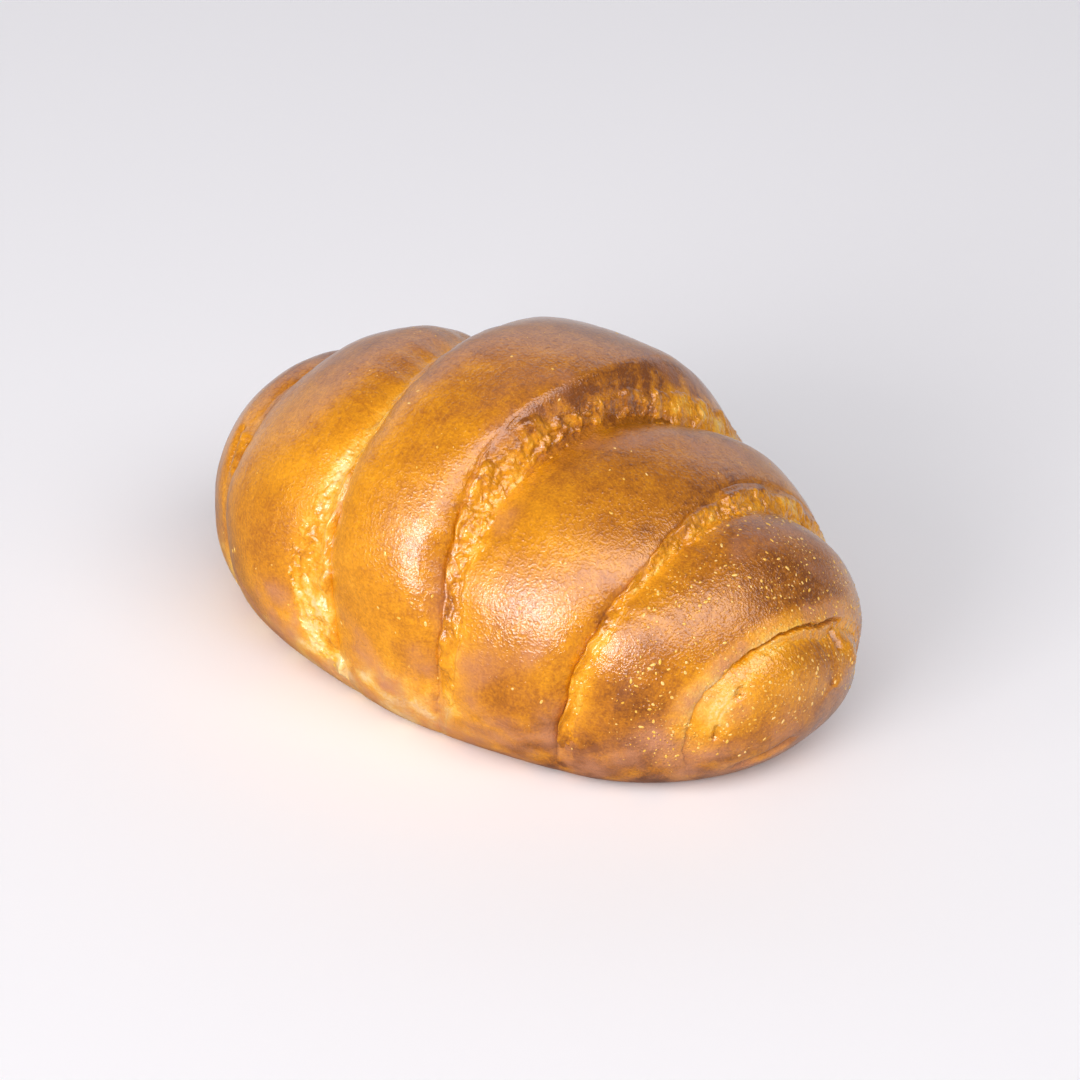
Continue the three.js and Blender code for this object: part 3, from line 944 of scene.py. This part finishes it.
def blister_tree():
    """Small lumpy domes over a surface, as many as its field blistered asks for."""
    tree, given, result = new_group(
        "blisters",
        {"Surface": "Geometry", "Gap": 0.001, "Per Square Metre": 1e6, "Smallest": 0.0002,
         "Largest": 0.0005, "Length": 1.5, "Height": 0.6, "Roughness": 0.3, "Seed": 1,
         "Material": "Material"},
        {"Blisters": "Geometry"}, "GeometryNodeTree")
    spots = add(tree, "GeometryNodeDistributePointsOnFaces",
                {"Mesh": given["Surface"], "Distance Min": given["Gap"],
                 "Density Max": given["Per Square Metre"],
                 "Density Factor": field_of(tree, "blistered"), "Seed": given["Seed"]},
                distribute_method="POISSON")
    ball = add(tree, "GeometryNodeMeshUVSphere",
               {"Segments": BLISTER_SIDES, "Rings": BLISTER_RINGS, "Radius": 1.0})
    draw = random_value(tree, 0.0, 1.0, given["Seed"])
    often_small = math_node(tree, "POWER", draw, OFTEN_SMALL)
    radius = add(tree, "ShaderNodeMapRange",
                 {"Value": often_small, "To Min": given["Smallest"],
                  "To Max": given["Largest"]}).outputs[0]
    longer = random_value(tree, 1.0, given["Length"], LENGTH_SEED)
    long = math_node(tree, "MULTIPLY", radius, longer)
    high = math_node(tree, "MULTIPLY", radius, given["Height"])
    size = add(tree, "ShaderNodeCombineXYZ", {"X": long, "Y": radius, "Z": high}).outputs[0]
    spin = random_value(tree, 0.0, 2 * math.pi, TURN_SEED)
    spin = add(tree, "ShaderNodeCombineXYZ", {"Z": spin}).outputs[0]
    turn = add(tree, "FunctionNodeRotateRotation",
               {"Rotation": spots.outputs["Rotation"], "Rotate By": spin},
               rotation_space="LOCAL").outputs[0]
    domes = add(tree, "GeometryNodeInstanceOnPoints",
                {"Points": spots.outputs["Points"], "Instance": ball.outputs["Mesh"],
                 "Rotation": turn, "Scale": size})
    solid = add(tree, "GeometryNodeRealizeInstances", {"Geometry": domes.outputs["Instances"]})
    position = add(tree, "GeometryNodeInputPosition").outputs[0]
    wobble = add(tree, "ShaderNodeTexNoise",
                 {"Vector": position, "Scale": BLISTER_LUMPS, "Detail": 1.0})
    centred = add(tree, "ShaderNodeVectorMath",
                  {0: wobble.outputs["Color"], 1: (0.5, 0.5, 0.5)}, operation="SUBTRACT")
    reach = math_node(tree, "MULTIPLY", given["Largest"], given["Roughness"])
    push = add(tree, "ShaderNodeVectorMath",
               {0: centred.outputs[0], "Scale": reach}, operation="SCALE")
    lumpy = add(tree, "GeometryNodeSetPosition",
                {"Geometry": solid.outputs[0], "Offset": push.outputs[0]})
    rounded = add(tree, "GeometryNodeSetShadeSmooth", {"Geometry": lumpy.outputs[0]})
    finished = add(tree, "GeometryNodeSetMaterial",
                   {"Geometry": rounded.outputs[0], "Material": given["Material"]})
    tree.links.new(finished.outputs[0], result.inputs["Blisters"])
    return tree


def made_by(tree, name, surface_mesh, sizes):
    """Runs the tree over the surface and keeps what it makes as a plain mesh."""
    holder = new_object(name, surface_mesh)
    modifier = holder.modifiers.new(name, "NODES")
    modifier.node_group = tree
    for item in tree.interface.items_tree:
        if item.in_out == "INPUT" and item.name in sizes:
            modifier[item.identifier] = sizes[item.name]
    evaluated = holder.evaluated_get(bpy.context.evaluated_depsgraph_get())
    made = bpy.data.meshes.new_from_object(evaluated)
    made.name = name
    bpy.data.objects.remove(holder)
    return new_object(name, made)


blister_material = dough_material(
    "blistered skin", BLISTER_RELIEF, bake=BLISTER_BAKE, pale=0.0, torn=0.0, toast=0.0,
    washed=1.0, blistered=0.0)
blisters = made_by(blister_tree(), "blisters", crust_mesh, {
    "Gap": BLISTER_GAP, "Per Square Metre": BLISTERS_PER_SQUARE_METRE,
    "Smallest": BLISTER_RADIUS[0], "Largest": BLISTER_RADIUS[1], "Length": BLISTER_LENGTH,
    "Height": BLISTER_HEIGHT, "Roughness": BLISTER_ROUGHNESS, "Seed": BLISTER_SEED,
    "Material": blister_material})
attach(blisters, "root")
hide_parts("bread_roll")


# Torn seams
# Where the coils pulled apart the dough tore into moist lumps and shreds. The egg wash ran
# into them and the oven glazed them, and toasted them where they stood up. Each tear is a
# band of its own that lies in its seam and dips under the crust on both sides.

CRUMB_STEP = 0.24  # millimetres between its points across the seam
CRUMB_COLUMNS = 3  # for each column of the crust, where the seam shows
SHOWN_ANGLES = (-60, 240)  # the angles between which it does
HIDDEN_STEP = 2  # columns of the crust for each of its own, where it doesn't
CRUMB_MARGIN = 3.2  # millimetres that it reaches past the strip on each side
CRUMB_DEPTH = 2.5  # thickness of the band under its middle
CRUMB_RELIEF = 0.15 * MILLIMETRE
SUNK = 0.7  # how far it lies under the crust where nothing is torn
LOWEST = 0.02  # over the floor
# Heights of its lumps, of the smaller beads on them, of its strands and of its broad folds.
# Their sizes are across the seam, along it and, for those that lie in space, in any way.
LUMPS = dict(height=0.55, size=(1.8, 2.6, 1), place=3.7)
BEADS = dict(height=0.38, size=(0.8, 1.0, 1), place=8.3)
SHREDS = dict(height=0.08, size=(0.5, 2.4, 1), place=9.1)
FOLDS = dict(height=0.40, size=4.2, place=5.3)
RAGS = dict(size=2.4, place=1.1)  # the ragged outline of the torn part
HEAP_GAIN, HEAP_MIDDLE = 2.2, 0.5
DRAWN_BY_FOLDS, DRAWN_BY_RAGS = 0.5, 0.6  # millimetres by which these bend the lumps' rows
ROUGHER = dict(size=6.0, place=4.6)  # where the lumps are higher than elsewhere
ROUGHER_MIDDLE, ROUGHER_SPREAD, ROUGHER_LIMITS = 0.75, 0.9, (0.3, 1.4)
OPEN_PALE, OPEN_CRUMB, OPEN_RAGS = 0.5, 0.6, 0.22  # what a tear opens by
OPEN_FROM, OPEN_BLEND = 0.22, 0.5
SMOOTH_TEAR = 0.3  # the share of their height that lumps keep where no crumb is torn
HIDDEN_CALM = 0.45  # how much lower the lumps are at the back
HIDDEN_ANGLES = (95, 145)
LIP_CALM, LIP_REACH = 0.85, 0.35  # and by the thicker coil's lip, to that share of the strip
CALMING_PASSES = 8
STANDING = 0.8  # how far lumps stand off the tear's own slope, and not straight off the roll
# dough that bridges the groove under the lip: shares of the strip, and where folds lift it
BRIDGE_SHARE, BRIDGE_REACH = 0.08, 0.35
BRIDGE_LIP = (-0.04, 0.08)
BRIDGE_FOLDS = (-0.4, 0.3)
LESS_BRIDGED_TOP = 0.55
HOLLOW_DARKENING = 0.24  # how much darker the crumb is made in the hollows between its lumps
HOLLOW_FROM, HOLLOW_LIMITS = 0.25, (-0.5, 1.0)


def sample(values, row, column):
    """Values between the rows and columns of the crust."""
    r = np.clip(np.floor(row).astype(int), 0, len(values) - 2)
    c = np.floor(column).astype(int)
    down, across = (row - r)[:, None], (column - c)[None, :]
    if values.ndim == 3:
        down, across = down[..., None], across[..., None]
    left, right = c % COLUMNS, (c + 1) % COLUMNS
    above = blend(values[r][:, left], values[r][:, right], across)
    below = blend(values[r + 1][:, left], values[r + 1][:, right], across)
    return blend(above, below, down)


def seam_noise(points, kind, seam_number):
    """The kind's noise, from another place in it for each seam."""
    return noise_over(points, kind["size"], kind["place"] + seam_number)


def heaped(values):
    """Rounded heaps with sharp hollows between them."""
    return np.abs(values) * HEAP_GAIN - HEAP_MIDDLE


def drawn_over(on_crust, fold, rag):
    """Where each point is across and along the seam, in millimetres, in wavy rows."""
    steps = np.linalg.norm(np.diff(on_crust, axis=1), axis=-1).mean(axis=0)
    along_seam = np.broadcast_to(np.concatenate([[0], np.cumsum(steps)]), fold.shape)
    steps = np.linalg.norm(np.diff(on_crust, axis=0), axis=-1)
    across_seam = np.concatenate([np.zeros((1, fold.shape[1])), np.cumsum(steps, axis=0)])
    return np.stack([across_seam + DRAWN_BY_FOLDS * fold, along_seam + DRAWN_BY_RAGS * rag,
                     np.zeros_like(fold)], -1)


def way_of_lumps(on_crust, lift, open_share):
    """Which way lumps stand: off the smoothed slope of the tear, where it is open."""
    calm = on_crust
    for _ in range(CALMING_PASSES):
        calm = (np.roll(calm, 1, axis=1) + 2 * calm + np.roll(calm, -1, axis=1)) / 4
        inner = (calm[:-2] + 2 * calm[1:-1] + calm[2:]) / 4
        calm = np.concatenate([calm[:1], inner, calm[-1:]])
    beside = np.roll(calm, -1, axis=1) - np.roll(calm, 1, axis=1)
    slope_out = unit(np.cross(np.gradient(calm, axis=0), beside))
    return unit(blend(lift, slope_out, STANDING * open_share[..., None]))


def closed_band(name, ring):
    """A mesh of rows of points that close on themselves both ways."""
    total, wide = ring.shape[:2]
    row = np.arange(total)[:, None]
    spot = np.arange(wide)[None, :]
    next_row, next_spot = (row + 1) % total, (spot + 1) % wide
    quads = np.stack([row * wide + spot, next_row * wide + spot,
                      next_row * wide + next_spot, row * wide + next_spot], -1)
    band = bpy.data.meshes.new(name)
    corners = (ring.reshape(-1, 3) * MILLIMETRE + shift).tolist()
    band.from_pydata(corners, [], quads.reshape(-1, 4).tolist())
    band.shade_smooth()
    return band


def crumb_columns():
    """The band's columns, counted in those of the crust and fewer where it is hidden."""
    columns = []
    spot, rounding = 0.0, 1e-6
    while spot < COLUMNS - rounding:
        columns.append(spot)
        if SHOWN_ANGLES[0] < blend(-90, 270, spot / COLUMNS) < SHOWN_ANGLES[1]:
            spot += 1 / CRUMB_COLUMNS
        else:
            spot = math.floor(spot + HIDDEN_STEP + rounding)
    return np.array(columns)


crumb_material = dough_material("torn crumb", CRUMB_RELIEF, washed=1.0, blistered=0.0)
columns = crumb_columns()
crumb_angles = blend(-90, 270, columns / COLUMNS)
row_after = 0  # the first row of the crust past the last seam
for k, seam in enumerate(SEAMS):
    lip_row = row_after + COILS[k]["rows"]
    row_after = lip_row + seam["rows"]
    reach = (along[lip_row] - CRUMB_MARGIN, along[row_after] + CRUMB_MARGIN)
    count = int((reach[1] - reach[0]) / CRUMB_STEP)
    crumb_rows = np.interp(np.linspace(*reach, count), along, np.arange(len(along)))
    on_crust = sample(place, crumb_rows, columns)
    lift = unit(sample(out, crumb_rows, columns))
    pale_here = sample(pale, crumb_rows, columns)
    crumb_here = around(seam["crumb"], crumb_angles)

    # lumps, lower by the lip and at the back, on a surface that sinks where nothing is torn
    fold, rag = seam_noise(on_crust, FOLDS, k), seam_noise(on_crust, RAGS, k)
    drawn_out = drawn_over(on_crust, fold, rag)
    rougher = ROUGHER_MIDDLE + ROUGHER_SPREAD * seam_noise(on_crust, ROUGHER, k)
    rougher = np.clip(rougher, *ROUGHER_LIMITS)
    from_lip = np.clip((crumb_rows - lip_row) / seam["rows"], -1, 2)
    if seam["tip"] < 0:
        from_lip = 1 - from_lip
    rougher *= 1 - LIP_CALM * np.exp(-(from_lip / LIP_REACH) ** 2)[:, None]
    lumps = LUMPS["height"] * heaped(seam_noise(drawn_out, LUMPS, k))
    beads = BEADS["height"] * heaped(seam_noise(drawn_out, BEADS, k))
    shreds = SHREDS["height"] * seam_noise(drawn_out, SHREDS, k)
    lumpy = rougher * (lumps + beads) + shreds + FOLDS["height"] * fold
    opened = pale_here * (OPEN_PALE + OPEN_CRUMB * crumb_here) + OPEN_RAGS * rag
    open_share = smooth((opened - OPEN_FROM) / OPEN_BLEND)
    rise = TORN_CLEARANCE * sample(torn, crumb_rows, columns) - SUNK * (1 - open_share)
    calmer = 1 - HIDDEN_CALM * ramp(crumb_angles, *HIDDEN_ANGLES)
    rise += open_share * lumpy * blend(SMOOTH_TEAR, 1, crumb_here) * calmer

    bridge = np.exp(-((from_lip - BRIDGE_SHARE) / BRIDGE_REACH) ** 2)
    bridge = (bridge * ramp(from_lip, *BRIDGE_LIP))[:, None] * ramp(fold, *BRIDGE_FOLDS)
    bridge *= 1 - LESS_BRIDGED_TOP * ramp(crumb_angles, *OVER_FRONT)
    bridge *= seam["bridged"] * seam_fade(crumb_angles)

    way = way_of_lumps(on_crust, lift, open_share)
    upper = on_crust + rise[..., None] * way + bridge[..., None] * lift
    under = [0, count // 2, count - 1]
    lower = on_crust[under] - CRUMB_DEPTH * lift[under]
    ring = np.concatenate([upper, lower[::-1]])
    ring[..., 2] = np.maximum(ring[..., 2], LOWEST)
    band = closed_band(f"torn_seam_{k + 1}", ring)

    hollow = np.clip(HOLLOW_FROM - lumpy, *HOLLOW_LIMITS) * open_share * crumb_here
    looks = dict(toast=sample(toast, crumb_rows, columns), torn=open_share * crumb_here,
                 pale=pale_here, grain=sample(grain, crumb_rows, columns),
                 bake=sample(bake, crumb_rows, columns) + HOLLOW_DARKENING * hollow)
    for name, values in looks.items():
        both_sides = np.concatenate([values, values[under][::-1]])
        paint(band, name, both_sides.reshape(-1, *values.shape[2:]))
    band.materials.append(crumb_material)
    torn_seam = new_object(band.name, band)
    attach(torn_seam, "root")
    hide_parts("bread_roll")
